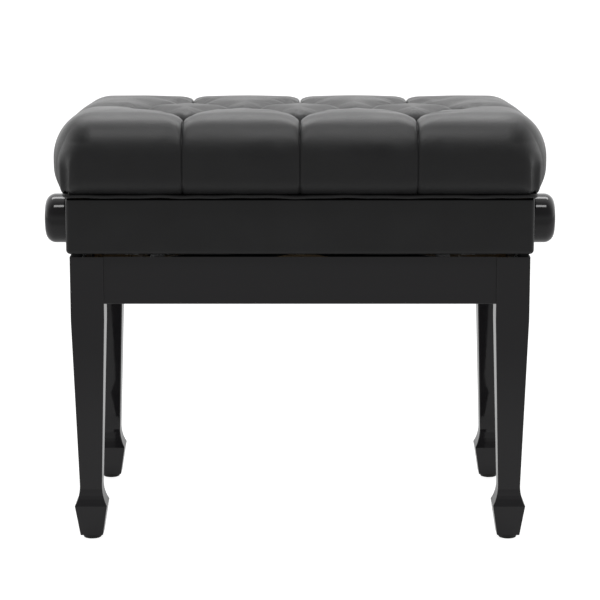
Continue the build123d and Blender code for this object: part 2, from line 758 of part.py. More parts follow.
def build_cushion():
    twines = tuft_twines()
    plug_inset = leather + 2 * cover_thickness + welt_diameter / 2 - welt_overhang
    plug_width, plug_depth = box_width - 2 * plug_inset, box_depth - 2 * plug_inset
    plug_top_z = cushion_base_z + cover_thickness
    plug = rounded_plate(plug_width, plug_depth, box_corner_radius, board_top_z, plug_top_z)
    foam = pillow(cover_thickness) + plug
    foam = foam - tuft_cones(cover_thickness)
    cover = pillow(0) - tuft_cones(0) - foam
    cover = max(cover.solids(), key=lambda solid: solid.volume)
    save("foam_core", foam - twines)
    save("cushion_cover", cover - twines)
    button = Cylinder(button_diameter / 2, button_height, align=(Align.CENTER, Align.CENTER, Align.MIN))
    button = fillet(button.edges().group_by(Axis.Z)[-1], button_edge_radius)
    save("tufting_buttons", *[Pos(x, y, tuft_floor_z) * button for x, y in button_places()])
    save("tufting_twines", *twines)
    washers = []
    for x, y in button_places():
        low, high = (x, y, board_base_z - twine_washer_thickness), (x, y, board_base_z)
        washers.append(rod(twine_washer_diameter, low, high) - rod(twine_diameter, low, high))
    save("twine_washers", *washers)


build_frame()
build_lower_lift()
build_arms()
build_upper_lift()
build_spindle()
build_box()
build_cushion()

os.makedirs("parts", exist_ok=True)
for name, shape in nodes.items():
    export_step(shape, f"parts/{name}.step")
print(len(nodes), "nodes")
print("arm angle", round(degrees(closed_angle), 2), "to", round(degrees(open_angle), 2), "degrees")
print("nut travel", round(nut_travel, 2), "mm in", round(knob_turns, 2), "turns of the knobs")
print("play at the nut bar", round(nut_play, 2), "across it", round(nut_side_play, 2))
print("play at the lower slide", round(height_play, 2))
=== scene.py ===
import math

import bmesh
import bpy
import numpy as np
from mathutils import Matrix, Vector


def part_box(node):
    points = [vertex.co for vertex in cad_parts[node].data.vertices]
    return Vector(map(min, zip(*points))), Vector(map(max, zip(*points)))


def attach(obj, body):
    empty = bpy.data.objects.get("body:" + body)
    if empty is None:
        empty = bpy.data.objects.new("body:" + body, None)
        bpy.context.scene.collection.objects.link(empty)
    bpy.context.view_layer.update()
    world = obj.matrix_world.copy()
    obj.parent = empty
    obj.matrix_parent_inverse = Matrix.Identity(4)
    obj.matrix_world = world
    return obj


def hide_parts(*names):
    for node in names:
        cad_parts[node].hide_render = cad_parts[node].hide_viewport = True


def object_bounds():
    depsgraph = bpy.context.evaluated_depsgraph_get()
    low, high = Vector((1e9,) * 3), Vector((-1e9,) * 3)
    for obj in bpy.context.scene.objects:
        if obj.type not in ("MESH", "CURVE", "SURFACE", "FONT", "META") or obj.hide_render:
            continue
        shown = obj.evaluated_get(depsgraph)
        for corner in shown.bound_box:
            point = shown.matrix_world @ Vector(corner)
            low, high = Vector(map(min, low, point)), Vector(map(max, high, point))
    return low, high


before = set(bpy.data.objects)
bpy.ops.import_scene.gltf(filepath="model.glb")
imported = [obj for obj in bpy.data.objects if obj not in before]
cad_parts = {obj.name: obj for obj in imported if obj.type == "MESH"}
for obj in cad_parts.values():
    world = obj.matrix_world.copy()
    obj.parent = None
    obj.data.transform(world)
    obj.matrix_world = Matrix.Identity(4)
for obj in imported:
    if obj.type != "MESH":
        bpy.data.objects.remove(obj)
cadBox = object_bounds()
mm = 0.001
print("frame loaded:", len(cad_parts), "nodes")


# small helpers
def addNode(tree, kind, settings=None, inputs=None):
    node = tree.nodes.new(kind)
    for name, value in (settings or {}).items():
        setattr(node, name, value)
    for name, value in (inputs or {}).items():
        if isinstance(value, bpy.types.NodeSocket):
            tree.links.new(value, node.inputs[name])
        else:
            node.inputs[name].default_value = value
    return node


def toLinear(hexCode):
    channels = [int(hexCode[i:i + 2], 16) / 255 for i in (0, 2, 4)]
    return [c / 12.92 if c <= 0.04045 else ((c + 0.055) / 1.055) ** 2.4 for c in channels] + [1.0]


def newMaterial(name, **inputs):
    material = bpy.data.materials.new(name)
    material.use_nodes = True
    shader = material.node_tree.nodes["Principled BSDF"]
    for socket, value in inputs.items():
        shader.inputs[socket.replace("_", " ")].default_value = value
    return material, material.node_tree, shader


# size is in metres, the width of one blob
def noise(tree, place, size, detail=2.0, roughness=0.5):
    inputs = {"Vector": place, "Scale": 1 / size, "Detail": detail, "Roughness": roughness}
    return addNode(tree, "ShaderNodeTexNoise", inputs=inputs).outputs["Fac"]


def spread(tree, value, low, high, outLow, outHigh):
    inputs = {0: value, 1: low, 2: high, 3: outLow, 4: outHigh}
    return addNode(tree, "ShaderNodeMapRange", {"clamp": True}, inputs).outputs[0]


def objectPlace(tree):
    return addNode(tree, "ShaderNodeTexCoord").outputs["Object"]


def blendColours(tree, factor, first, second):
    node = addNode(tree, "ShaderNodeMix", {"data_type": "RGBA"}, {"Factor": factor})
    node.inputs[6].default_value = first
    node.inputs[7].default_value = second
    return node.outputs[2]


def bumpOf(tree, height, strength, depth, under=None):
    inputs = {"Strength": strength, "Distance": depth, "Height": height}
    if under is not None:
        inputs["Normal"] = under
    return addNode(tree, "ShaderNodeBump", inputs=inputs).outputs[0]


def clearSelection():
    if bpy.context.object and bpy.context.object.mode != "OBJECT":
        bpy.ops.object.mode_set(mode="OBJECT")
    bpy.ops.object.select_all(action="DESELECT")


def activate(piece):
    clearSelection()
    piece.select_set(True)
    bpy.context.view_layer.objects.active = piece


# puts the piece's place in its mesh and names it
def settle(piece, name):
    activate(piece)
    bpy.ops.object.transform_apply(location=True, rotation=True, scale=True)
    piece.name = name
    piece.data.name = name
    return piece


def finishPiece(piece, material, body, slot, *nodes):
    piece.data.materials.clear()
    piece.data.materials.append(material)
    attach(piece, body)
    if nodes:
        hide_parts(*nodes)
    return piece


def places(mesh):
    points = np.zeros(len(mesh.vertices) * 3)
    mesh.vertices.foreach_get("co", points)
    return points.reshape(-1, 3)


def setPlaces(mesh, points):
    mesh.vertices.foreach_set("co", np.asarray(points, float).ravel())
    mesh.update()


# in edit mode, selects the edges whose two ends pass the test
def selectEdges(piece, wanted):
    shape = bmesh.from_edit_mesh(piece.data)
    bpy.ops.mesh.select_all(action="DESELECT")
    for edge in shape.edges:
        edge.select = wanted(edge.verts[0].co, edge.verts[1].co)
    shape.select_flush_mode()
    bmesh.update_edit_mesh(piece.data)


# in edit mode, selects the faces whose centre and normal pass the test
def selectFaces(piece, wanted):
    shape = bmesh.from_edit_mesh(piece.data)
    bpy.ops.mesh.select_all(action="DESELECT")
    for face in shape.faces:
        face.select = wanted(face.calc_center_median(), face.normal)
    shape.select_flush_mode()
    bmesh.update_edit_mesh(piece.data)


# camera and studio
view = {
    "place": (0.0, -2.797, 0.8008),
    "pitchDown": 10.81,  # degrees
    "lens": 135.56,
    "sensor": 36.0,
    "nearest": 0.1,
    "farthest": 50.0,
}


def makeCamera():
    clearSelection()
    turn = (math.radians(90 - view["pitchDown"]), 0, 0)
    bpy.ops.object.camera_add(location=view["place"], rotation=turn)
    camera = bpy.context.object
    camera.data.lens = view["lens"]
    camera.data.sensor_width = view["sensor"]
    camera.data.clip_start, camera.data.clip_end = view["nearest"], view["farthest"]
    bpy.context.scene.camera = camera


studio = {
    "background": "ffffff",
    "back": 1.25,  # brightness of the surround behind the bench
    "front": 0.4,
    "upperFront": 0.2,
    "brightens": (-0.3, 0.5),  # from front to back, as a share of the way round
    "dimsAbove": (0.12, 0.45),  # likewise, upwards
    "undimmed": (-0.5, 0.2),
    "floorGlow": 0.93,
    "floorSize": 24,
    "floorNear": "8c8c8c",
    "floorReflected": 0.3,  # glow that the bench sees in the floor
    "floorFar": "3a3a3a",  # the sheet darkens a step in front of the bench
    "floorFades": (-0.3, -1.0),
    # power, width, depth and place of each softbox
    "softboxes": [
        (10.0, 1.4, 0.35, (0.0, -0.8, 2.1)),
        (20.0, 2.4, 0.5, (0.0, 0.9, 2.1)),
    ],
}


# a white paper sweep, even to the eye, that fades towards the front in reflections
def makeFloor():
    clearSelection()
    bpy.ops.mesh.primitive_plane_add(size=studio["floorSize"], location=(0, 0, 0))
    floor = settle(bpy.context.object, "studioFloor")
    material, tree, shader = newMaterial("matte white paper sweep", Roughness=0.9)
    split = addNode(tree, "ShaderNodeSeparateXYZ", inputs={0: objectPlace(tree)})
    near, far = studio["floorFades"]
    fade = spread(tree, split.outputs["Y"], far, near, 0.0, 1.0)
    paper = blendColours(tree, fade, toLinear(studio["floorFar"]), toLinear(studio["floorNear"]))
    seen = addNode(tree, "ShaderNodeLightPath").outputs["Is Camera Ray"]
    glow = spread(tree, seen, 0.0, 1.0, studio["floorReflected"], studio["floorGlow"])
    tree.links.new(paper, shader.inputs["Base Color"])
    shader.inputs["Emission Color"].default_value = toLinear("ffffff")
    tree.links.new(glow, shader.inputs["Emission Strength"])
    behind = addNode(tree, "ShaderNodeNewGeometry").outputs["Backfacing"]
    clear = addNode(tree, "ShaderNodeBsdfTransparent").outputs[0]
    sides = {0: behind, 1: shader.outputs[0], 2: clear}
    sheet = addNode(tree, "ShaderNodeMixShader", inputs=sides)
    tree.links.new(sheet.outputs[0], tree.nodes["Material Output"].inputs["Surface"])
    floor.data.materials.append(material)


# white to the eye, and in reflections bright behind the bench and dark in front of it
def makeSurround():
    world = bpy.data.worlds.new("paleStudio")
    bpy.context.scene.world = world
    world.use_nodes = True
    tree = world.node_tree
    tree.nodes.clear()
    direction = addNode(tree, "ShaderNodeTexCoord").outputs["Generated"]
    split = addNode(tree, "ShaderNodeSeparateXYZ", inputs={0: direction})
    ahead = spread(tree, split.outputs["Y"], *studio["brightens"], studio["front"], studio["back"])
    dimmer = studio["upperFront"] / studio["front"]
    high = spread(tree, split.outputs["Z"], *studio["dimsAbove"], 1.0, dimmer)
    isBack = spread(tree, split.outputs["Y"], *studio["undimmed"], 0.0, 1.0)
    dim = addNode(tree, "ShaderNodeMix", inputs={0: isBack, 2: high, 3: 1.0}).outputs[0]
    product = addNode(tree, "ShaderNodeMath", {"operation": "MULTIPLY"}, {0: ahead, 1: dim})
    level = product.outputs[0]
    seen = addNode(tree, "ShaderNodeLightPath").outputs["Is Camera Ray"]
    strength = addNode(tree, "ShaderNodeMix", inputs={0: seen, 2: level, 3: 1.0}).outputs[0]
    colour = toLinear(studio["background"])
    glow = addNode(tree, "ShaderNodeBackground", inputs={"Color": colour, "Strength": strength})
    addNode(tree, "ShaderNodeOutputWorld", inputs={"Surface": glow.outputs[0]})


def makeSoftboxes():
    for power, width, depth, place in studio["softboxes"]:
        clearSelection()
        bpy.ops.object.light_add(type="AREA", location=place)
        softbox = bpy.context.object
        softbox.data.shape = "RECTANGLE"
        softbox.data.size, softbox.data.size_y = width, depth
        softbox.data.energy = power
        aim = Vector((0, 0, cadBox[1].z)) - softbox.location
        softbox.rotation_euler = aim.to_track_quat("-Z", "Y").to_euler()


bpy.context.scene.view_settings.view_transform = "Standard"
makeCamera()
makeFloor()
makeSurround()
makeSoftboxes()
print("camera and studio ready")


# finishes, with sizes in mm
lacquerLook = {
    "colour": "232224",
    "ior": 1.5,
    "rough": (0.03, 0.07),
    "hazeSize": 60,
    "peelSize": 9,
    "peelDepth": 0.05,
}


# polyester lacquer, sprayed and buffed: deep black, mirror-bright, a trace of orange peel
def pianoLacquer():
    material, tree, shader = newMaterial("polished black polyester lacquer")
    place = objectPlace(tree)
    haze = noise(tree, place, lacquerLook["hazeSize"] * mm, 3.0)
    rough = spread(tree, haze, 0.35, 0.7, *lacquerLook["rough"])
    peel = noise(tree, place, lacquerLook["peelSize"] * mm, 1.0)
    bump = bumpOf(tree, peel, 0.25, lacquerLook["peelDepth"] * mm)
    shader.inputs["Base Color"].default_value = toLinear(lacquerLook["colour"])
    shader.inputs["IOR"].default_value = lacquerLook["ior"]
    tree.links.new(rough, shader.inputs["Roughness"])
    tree.links.new(bump, shader.inputs["Normal"])
    return material


leatherGrain = {
    "pebble": 1.1,  # between grain furrows
    "pebbleDepth": 0.10,
    "furrow": 0.22,  # share of a pebble that slopes to its furrow
    "driftSize": 4,
    "drift": 0.8,  # how far the furrows wander
    "creaseSize": 7.0,
    "creaseDepth": 0.10,
    "cloudSize": 45,
    "foldRough": 0.85,
    "ior": 1.5,
}


# corrected-grain cowhide, satin finished: fine pebble, soft creases, dull down in the folds
def softLeather(name, colour, worn, rough):
    material, tree, shader = newMaterial(name)
    place = objectPlace(tree)
    drift = noise(tree, place, leatherGrain["driftSize"] * mm, 2.0)
    wander = {0: drift, 1: (leatherGrain["drift"] * mm,) * 3, 2: place}
    shifted = addNode(tree, "ShaderNodeVectorMath", {"operation": "MULTIPLY_ADD"}, wander)
    cells = {"Vector": shifted.outputs[0], "Scale": 1 / (leatherGrain["pebble"] * mm)}
    furrow = addNode(tree, "ShaderNodeTexVoronoi", {"feature": "DISTANCE_TO_EDGE"}, cells)
    pebble = spread(tree, furrow.outputs["Distance"], 0.0, leatherGrain["furrow"], 0.0, 1.0)
    crease = noise(tree, place, leatherGrain["creaseSize"] * mm, 4.0, 0.6)
    low = bumpOf(tree, crease, 0.5, leatherGrain["creaseDepth"] * mm)
    bump = bumpOf(tree, pebble, 0.45, leatherGrain["pebbleDepth"] * mm, low)
    cloud = noise(tree, place, leatherGrain["cloudSize"] * mm, 3.0)
    patch = spread(tree, cloud, 0.3, 0.7, 0.0, 1.0)
    tone = blendColours(tree, patch, toLinear(colour), toLinear(worn))
    satin = spread(tree, cloud, 0.3, 0.7, *rough)
    fold = addNode(tree, "ShaderNodeAttribute", {"attribute_name": "foldDepth"}).outputs["Fac"]
    dull = {0: fold, 2: satin, 3: leatherGrain["foldRough"]}
    dulled = addNode(tree, "ShaderNodeMix", inputs=dull)
    shader.inputs["IOR"].default_value = leatherGrain["ior"]
    tree.links.new(tone, shader.inputs["Base Color"])
    tree.links.new(dulled.outputs[0], shader.inputs["Roughness"])
    tree.links.new(bump, shader.inputs["Normal"])
    return material


woodGrain = {
    "rough": 0.62,
    "streakSize": 1.2,
    "streakShare": 0.45,
    "drawnOut": 0.04,  # across to along
    "grainDepth": 0.1,
}


# planed hardwood, unfinished: fine streaks along the board and faint growth rings
def bareWood(name, along, light, dark, ring):
    material, tree, shader = newMaterial(name, Roughness=woodGrain["rough"])
    place = objectPlace(tree)
    stretch = [1.0, 1.0, 1.0]
    stretch[along] = woodGrain["drawnOut"]
    drawn = {"Vector": place, "Scale": stretch}
    mapped = addNode(tree, "ShaderNodeMapping", inputs=drawn).outputs[0]
    streak = noise(tree, mapped, woodGrain["streakSize"] * mm, 3.0)
    broad = noise(tree, mapped, ring * mm, 2.0)
    blend = {0: woodGrain["streakShare"], 2: broad, 3: streak}
    mixed = addNode(tree, "ShaderNodeMix", inputs=blend).outputs[0]
    figure = spread(tree, mixed, 0.35, 0.65, 0.0, 1.0)
    tone = blendColours(tree, figure, toLinear(light), toLinear(dark))
    bump = bumpOf(tree, streak, 0.3, woodGrain["grainDepth"] * mm)
    tree.links.new(tone, shader.inputs["Base Color"])
    tree.links.new(bump, shader.inputs["Normal"])
    return material


# steel with a thin plating or an oiled surface: faint cloudy blotches, fine pitting
def platedSteel(name, colour, rough, blotch):
    material, tree, shader = newMaterial(name, Metallic=1.0)
    place = objectPlace(tree)
    cloud = noise(tree, place, blotch * mm, 3.0)
    fine = noise(tree, place, 0.6 * mm, 2.0)
    rougher = spread(tree, cloud, 0.3, 0.7, rough * 0.75, rough * 1.25)
    bump = bumpOf(tree, fine, 0.2, 0.04 * mm)
    shader.inputs["Base Color"].default_value = toLinear(colour)
    tree.links.new(rougher, shader.inputs["Roughness"])
    tree.links.new(bump, shader.inputs["Normal"])
    return material


# powder coat, moulded nylon, felt or twine: an even colour with a fine surface of its own
def coatedFinish(name, colour, rough, grain, depth):
    material, tree, shader = newMaterial(name)
    place = objectPlace(tree)
    texture = noise(tree, place, grain * mm, 3.0)
    cloud = noise(tree, place, 30 * mm, 2.0)
    rougher = spread(tree, cloud, 0.3, 0.7, rough - 0.05, rough + 0.05)
    bump = bumpOf(tree, texture, 0.5, depth * mm)
    shader.inputs["Base Color"].default_value = toLinear(colour)
    tree.links.new(rougher, shader.inputs["Roughness"])
    tree.links.new(bump, shader.inputs["Normal"])
    return material


shades = {
    "seatLeather": ("19191a", "1f1f20"),
    "buttonLeather": ("141415", "1a1a1b"),
    # beech and plywood are set darker than bare wood, partly as painted shade, so the inside of the
    # box seen through the gap under the seat stays dark
    "beech": ("94774f", "7c6140"),
    "stainedBeech": ("1c1a19", "121110"),
    # darker than bare birch, partly as painted shade for the gap under the seat
    "plywood": ("9a8460", "846c49"),
    "zinc": "b9bcc0",
    "brightSteel": "c4c4c6",
    "powderCoat": "151516",
    "nylon": "121212",
    "felt": "101010",
    "flax": "9c8a66",
}
lacquer = pianoLacquer()
seatLeather = softLeather("black seat leather", *shades["seatLeather"], (0.36, 0.44))
buttonLeather = softLeather("black button leather", *shades["buttonLeather"], (0.38, 0.46))
beechAlongX = bareWood("planed beech along the bench", 0, *shades["beech"], 14)
beechAlongY = bareWood("planed beech across the bench", 1, *shades["beech"], 14)
stainedBeech = bareWood("beech stained black", 0, *shades["stainedBeech"], 14)
plywood = bareWood("birch plywood", 0, *shades["plywood"], 22)
zincSteel = platedSteel("zinc-plated steel", shades["zinc"], 0.34, 5)
brightSteel = platedSteel("bright drawn steel", shades["brightSteel"], 0.22, 12)
blackSteel = coatedFinish("black powder-coated steel", shades["powderCoat"], 0.42, 0.7, 0.06)
blackNylon = coatedFinish("moulded black nylon", shades["nylon"], 0.45, 1.0, 0.03)
blackFelt = coatedFinish("pressed black wool felt", shades["felt"], 0.95, 0.6, 0.4)
waxedTwine = coatedFinish("waxed flax twine", shades["flax"], 0.6, 0.5, 0.2)

finishes = {
    lacquer: ["leg_front_left", "leg_front_right", "leg_rear_left", "leg_rear_right", "apron_front",
              "apron_rear", "apron_left", "apron_right"],
    beechAlongX: ["skirt_front", "skirt_rear"],
    stainedBeech: ["corner_blocks"],
    beechAlongY: ["skirt_left", "skirt_right"],
    plywood: ["seat_board"],
    blackSteel: ["lower_rail_front", "lower_rail_rear", "upper_rail_front", "upper_rail_rear",
                 "lower_strap_left", "lower_strap_right", "arm_a_front", "arm_a_rear", "arm_b_front",
                 "arm_b_rear"],
    zincSteel: ["hanger_bolts", "bolt_washers", "bolt_nuts", "corner_block_screws", "strap_screws",
                "skirt_screws", "upper_rail_screws", "rail_rivets", "centre_rivets", "glide_nails",
                "twine_washers", "knob_set_screws", "thrust_collars", "lower_pivot_rod",
                "lower_slide_rod"],
    brightSteel: ["thrust_bar", "nut_bar"],
    blackNylon: ["foot_glides", "spindle_bush_left", "spindle_bush_right"],
    blackFelt: ["rest_pads"],
    waxedTwine: ["tufting_twines"],
}
for material, names in finishes.items():
    for name in names:
        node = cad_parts[name]
        for holder in node.material_slots:
            holder.material = material
print("finishes given to", sum(len(names) for names in finishes.values()), "carried-over nodes")


# tufted cushion
coverLow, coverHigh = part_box("cushion_cover")
buttonLow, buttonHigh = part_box("tufting_buttons")
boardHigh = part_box("seat_board")[1]
weltLow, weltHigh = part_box("welt_piping")
cushionShape = {
    "widestAboveFoot": 34.5 * mm,
    "sideTuck": 15.0 * mm,  # how far the foot draws in below the widest place
    "frontTuck": 17.0 * mm,
    "footCurve": 4.0,  # how late the wall tucks in towards its foot
    "shoulder": 52.0 * mm,
    "topCornerRadius": 50.0 * mm,
    "wallCornerRadius": 38.0 * mm,
    "footCornerRadius": 9.0 * mm,
    "sideBow": 9.0 * mm,  # the sides bow: widest off their ends
    "bowStarts": 75.0 * mm,
    "bowEnds": 155.0 * mm,
    "bowInside": (200.0 * mm, 90.0 * mm),  # where the bow fades out over the top, and how fast
    "rearDrop": 7.0 * mm,  # the crown slopes gently to the rear
    "dropHalfRun": 120.0 * mm,
    "dropFades": 50.0 * mm,  # above the widest place
    "bandRings": 26,
    "cellsPerHalfSpacing": 14,
    "buttonDiameter": 21.0 * mm,
    "dishRadius": 30.0 * mm,
    "topEnds": (30.0 * mm, 20.0 * mm),  # below the crown, and how gradually
    "topPleatDrop": 20.0 * mm,  # a pleat that stays above this is one of the top's
    "pleatDepth": 18.0 * mm,
    "pleatRadius": 34.0 * mm,
    "domeDepth": 6.0 * mm,  # each puff rounds off gently towards its pleats as well
    "domeRadius": 90.0 * mm,
    "domeClearsButton": 45.0 * mm,
    "crestDepth": 11.0 * mm,  # of a pleat where it leaves the top
    "crestRadius": 38.0 * mm,
    "rearCrest": 0.55,  # the rear pleats' share of the front ones' depth and reach
    "wallPleatDepth": 0.7 * mm,
    "wallPleatRadius": 5.0 * mm,
    "wallPleatKnots": [gone * mm for gone in (0, 22, 45, 66, 84, 104, 190)],  # from the button
    "slit": 2.0 * mm,  # the line where two puffs meet
    "slitHalfWidth": 0.5 * mm,
    "topSlitExtra": 1.6,  # share by which it is deeper on top
    "cornerFoldDepth": 3.5 * mm,
    "cornerFoldRadius": 13.0 * mm,
    "cornerFoldStarts": 0.55,  # share of the way down from the crown
    "pinch": 8.0 * mm,  # cells this near a pleat crowd up to it
    "clothCap": 2.2 * mm,
    "clothFrames": 16,
    "clothPressure": 2.0,
    "clothQuality": 6,
    "clothMass": 0.2,
    "clothHeldNear": 6.0 * mm,  # of a pleat
    "clothHeldRound": 15.0 * mm,  # a button
    "clothStiffness": 30,
    "clothShear": 20,
    "clothBending": 6,
    "clothShrink": -0.006,  # the leather is cut a touch full
    "wallShare": 0.15,  # how much of the cloth's movement the walls keep
    "wallFadeRings": 16,
    "wrinkleHeight": 0.45 * mm,
    "wrinkleReach": (13.0 * mm, 26.0 * mm),  # from the button's middle, and how far on
    "wrinkleOffPleat": 6.0 * mm,
    "dullHalfWidth": 9.0 * mm,  # of the matt strip along each pleat
}
buttonSpacing = (buttonHigh.x - buttonLow.x - cushionShape["buttonDiameter"]) / 3
rowSpacing = (buttonHigh.y - buttonLow.y - cushionShape["buttonDiameter"]) / 2


def buttonPlaces():
    found = []
    for row, count in ((-1, 3), (0, 4), (1, 3)):
        found += [((i - (count - 1) / 2) * buttonSpacing, row * rowSpacing) for i in range(count)]
    return found


# the smooth form under the tufting, laid out as a grid that wraps over the shoulders
class CushionForm:
    def __init__(self, finer):
        cells = cushionShape["cellsPerHalfSpacing"] * finer
        self.rings = cushionShape["bandRings"] * finer
        self.cellX, self.cellY = buttonSpacing / 2 / cells, rowSpacing / cells
        halfX, halfY = coverHigh.x, coverHigh.y
        self.innerX = round((halfX - cushionShape["shoulder"]) / self.cellX)
        self.innerY = round((halfY - cushionShape["shoulder"]) / self.cellY)
        self.flatX, self.flatY = self.innerX * self.cellX, self.innerY * self.cellY
        self.overX, self.overY = halfX - self.flatX, halfY - self.flatY
        self.cells = cells
        underFoot = 2  # rings that turn in under the foot
        self.countX = 2 * (self.innerX + self.rings + underFoot)
        self.countY = 2 * (self.innerY + self.rings + underFoot)
        self.profile()

    # overhang share, height and corner radius at each ring, evenly spaced along the wall
    def profile(self):
        shape = cushionShape
        widest = coverLow.z + shape["widestAboveFoot"]
        rise = coverHigh.z - widest
        angles = np.linspace(0, math.pi / 2, 120)
        drop = np.linspace(0, 1, 60)[1:]
        tuck = np.concatenate([np.zeros(120), drop ** shape["footCurve"]])
        share = np.concatenate([np.sin(angles), np.ones(59)])
        below = widest - drop * shape["widestAboveFoot"]
        height = np.concatenate([widest + rise * np.cos(angles), below])
        fall = np.clip((coverHigh.z - height) / rise, 0, 1) ** 2
        top, wall, foot = (shape[part + "CornerRadius"] for part in ("top", "wall", "foot"))
        radius = top + (wall - top) * fall + (foot - wall) * tuck
        reach = share * shape["shoulder"] - tuck * shape["sideTuck"]
        along = np.concatenate([[0], np.cumsum(np.hypot(np.diff(reach), np.diff(height)))])
        wanted = np.linspace(0, along[-1], self.rings + 1)
        self.share, self.tuckShare, self.height, self.radius = (
            np.interp(wanted, along, values) for values in (share, tuck, height, radius)
        )
        self.share = np.append(self.share, [1, 1])
        self.tuckShare = np.append(self.tuckShare, [1.5, 1.7])
        self.height = np.append(self.height, [coverLow.z - 1.5 * mm, boardHigh.z + 0.4 * mm])
        self.radius = np.append(self.radius, [self.radius[-1] * 0.7] * 2)

    # where grid corner (i, j), counted from the middle, lies
    def place(self, i, j):
        shape = cushionShape
        i, j = np.asarray(i, float), np.asarray(j, float)
        ringX = np.maximum(np.abs(i) - self.innerX, 0)
        ringY = np.maximum(np.abs(j) - self.innerY, 0)
        ring = np.maximum(ringX, ringY)
        share, tuck, height, radius = (
            np.interp(ring, np.arange(len(self.share)), values)
            for values in (self.share, self.tuckShare, self.height, self.radius)
        )
        overX = share * self.overX - tuck * shape["sideTuck"]
        overY = share * self.overY - tuck * shape["frontTuck"]
        radius = np.minimum(radius, np.minimum(overX, overY))
        x = np.minimum(np.abs(i), self.innerX) * self.cellX + np.where(ringX > 0, overX, 0)
        y = np.minimum(np.abs(j), self.innerY) * self.cellY + np.where(ringY > 0, overY, 0)
        inCorner = (ringX > 0) & (ringY > 0)
        safeRing = np.maximum(ring, 1e-9)
        turn = np.where(ringX >= ringY, 0.5 * ringY / safeRing, 1 - 0.5 * ringX / safeRing)
        straightX, straightY = overX - radius, overY - radius
        arc = radius * math.pi / 2
        run = turn * (straightX + straightY + arc)
        angle = np.clip((run - straightY) / np.maximum(radius, 1e-9), 0, math.pi / 2)
        rest = np.maximum(run - straightY - arc, 0)
        cornerX = self.flatX + straightX + radius * np.cos(angle) - rest
        cornerY = self.flatY + np.minimum(run, straightY) + radius * np.sin(angle)
        x, y = np.where(inCorner, cornerX, x), np.where(inCorner, cornerY, y)
        past = np.minimum(y, shape["bowEnds"]) - shape["bowStarts"]
        past = np.clip(past, 0, 1) / shape["bowStarts"]
        inside, fades = shape["bowInside"]
        atSide = np.clip((x - inside) / fades, 0, 1) ** 2
        x = x - shape["sideBow"] * past ** 2 * atSide * share * (1 - 0.8 * np.clip(tuck, 0, 1))
        behind = np.clip(np.copysign(y, j) / (2 * shape["dropHalfRun"]) + 0.5, 0, 1)
        overWidest = height - coverLow.z - shape["widestAboveFoot"]
        upper = np.clip(overWidest / shape["dropFades"], 0, 1)
        height = height - shape["rearDrop"] * behind * upper
        return np.stack([np.copysign(x, i), np.copysign(y, j), height], -1)

    # each pleat's points, with its depth and the reach of its puffs at each point
    def pleats(self):
        found = []
        half = self.cells
        last = self.innerY + self.rings
        for side in (-1, 1):
            for column in (-2, 0, 2):
                for step in (-1, 1):
                    walk = np.arange(half + 1)[:, None] * np.array([step, -side])
                    found.append(self.topPleat(np.array([column * half, side * half]) + walk))
                steps = np.arange(half, last + 1)
                walk = np.stack([0 * steps + column * half, side * steps], -1)
                found.append(self.wallPleat(walk, cushionShape["rearCrest"] if side > 0 else 1))
            steps = np.arange(3 * half, self.innerX + self.rings + 1)
            found.append(self.wallPleat(np.stack([side * steps, 0 * steps], -1), 1))
        return found

    def topPleat(self, corners):
        points = self.place(corners[:, 0], corners[:, 1])
        nearButton = (2 * np.abs(np.linspace(0, 1, len(points)) - 0.5)) ** 2.2
        deep = cushionShape["pleatDepth"]
        depth = deep + (points[:, 2] - buttonLow.z - deep) * nearButton
        return points, depth, np.full(len(points), cushionShape["pleatRadius"])

    def wallPleat(self, corners, crest):
        points = self.place(corners[:, 0], corners[:, 1])
        gone = np.concatenate([[0], np.cumsum(np.linalg.norm(np.diff(points, axis=0), axis=1))])
        deep, wall = cushionShape["crestDepth"] * crest, cushionShape["wallPleatDepth"]
        wide, tight = cushionShape["crestRadius"] * crest, cushionShape["wallPleatRadius"]
        depths, reaches = [points[0, 2] - buttonLow.z], [cushionShape["pleatRadius"]]
        depths += [deep * share for share in (1.5, 1.1, 0.85, 0.34)] + [wall * 1.6, wall]
        reaches += [wide * share for share in (1, 1, 0.8, 0.4)] + [tight * 1.6, tight]
        knots = cushionShape["wallPleatKnots"]
        return points, np.interp(gone, knots, depths), np.interp(gone, knots, reaches)

    # the soft upright folds where each side turns into the next
    def cornerFolds(self):
        first = round(cushionShape["cornerFoldStarts"] * self.rings)
        steps = np.arange(first, self.rings + 1)
        share = np.linspace(0, 1, len(steps))
        depth = cushionShape["cornerFoldDepth"] * np.clip(share * 2.5, 0, 1)
        reach = cushionShape["cornerFoldRadius"] * (1 - 0.4 * share)
        for sx in (-1, 1):
            for sy in (-1, 1):
                corner = self.place(sx * (self.innerX + steps), sy * (self.innerY + steps))
                yield corner, depth, reach


# distance from each point to a path, the nearest place on it and the path's values there
def nearest(points, path, *values):
    best = np.full(len(points), 1e9)
    out = [np.zeros(len(points)) for _ in values]
    foot = np.zeros((len(points), 3))
    low, high = path.min(0) - 95 * mm, path.max(0) + 95 * mm
    close = np.where(np.all((points > low) & (points < high), axis=1))[0]
    for k in range(len(path) - 1):
        a, b = path[k], path[k + 1]
        leg = b - a
        t = np.clip((points[close] - a) @ leg / max(leg @ leg, 1e-12), 0, 1)
        spot = a + t[:, None] * leg
        gap = np.linalg.norm(points[close] - spot, axis=1)
        better = gap < best[close]
        hit = close[better]
        best[hit] = gap[better]
        foot[hit] = spot[better]
        for value, kept in zip(values, out):
            kept[hit] = value[k] + (value[k + 1] - value[k]) * t[better]
    return best, foot, out


# 1 on the pleat and 0 at the puff's crown: a quarter-round that dives into the pleat
def puffFall(distance, reach):
    t = np.clip(distance / np.maximum(reach, 1e-9), 0, 1)
    return 1 - np.sqrt(np.clip(1 - (1 - t) ** 2, 0, 1))


